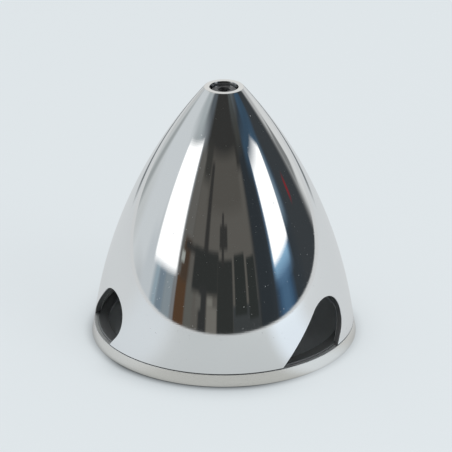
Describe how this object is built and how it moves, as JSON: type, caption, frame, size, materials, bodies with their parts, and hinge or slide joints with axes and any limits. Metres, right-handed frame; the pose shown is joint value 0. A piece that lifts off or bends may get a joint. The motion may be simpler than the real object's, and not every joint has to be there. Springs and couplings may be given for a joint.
{
  "type": "propeller spinner",
  "caption": "Pointed turned aluminium spinner for a model aircraft propeller: an arc-sided cone with slanted blade cutouts on a flat backplate, held by a bolt sunk in its nose.",
  "frame": {"origin": "centre of the flat rear face of the backplate, on the turning axis", "axes": "+Z along the turning axis from the rear face to the nose, +Y along one blade cutout, the other two cutouts 120 degrees either side"},
  "size_m": [0.07, 0.07, 0.0688],
  "materials": {
    "polished_aluminium": "mirror polished, fine turning lines",
    "turned_aluminium": "bright turned",
    "bolt_steel": "dark steel, lightly brushed",
    "spring_steel": "plain spring steel",
    "pin_steel": "ground",
    "nut_steel": "machined steel"
  },
  "bodies": {
    "root": {"spinner_cone": "polished_aluminium", "backplate": "turned_aluminium", "nose_bolt": "bolt_steel", "lock_washer": "spring_steel", "index_pin": "pin_steel", "adapter_nut": "nut_steel"}
  },
  "joints": []
}
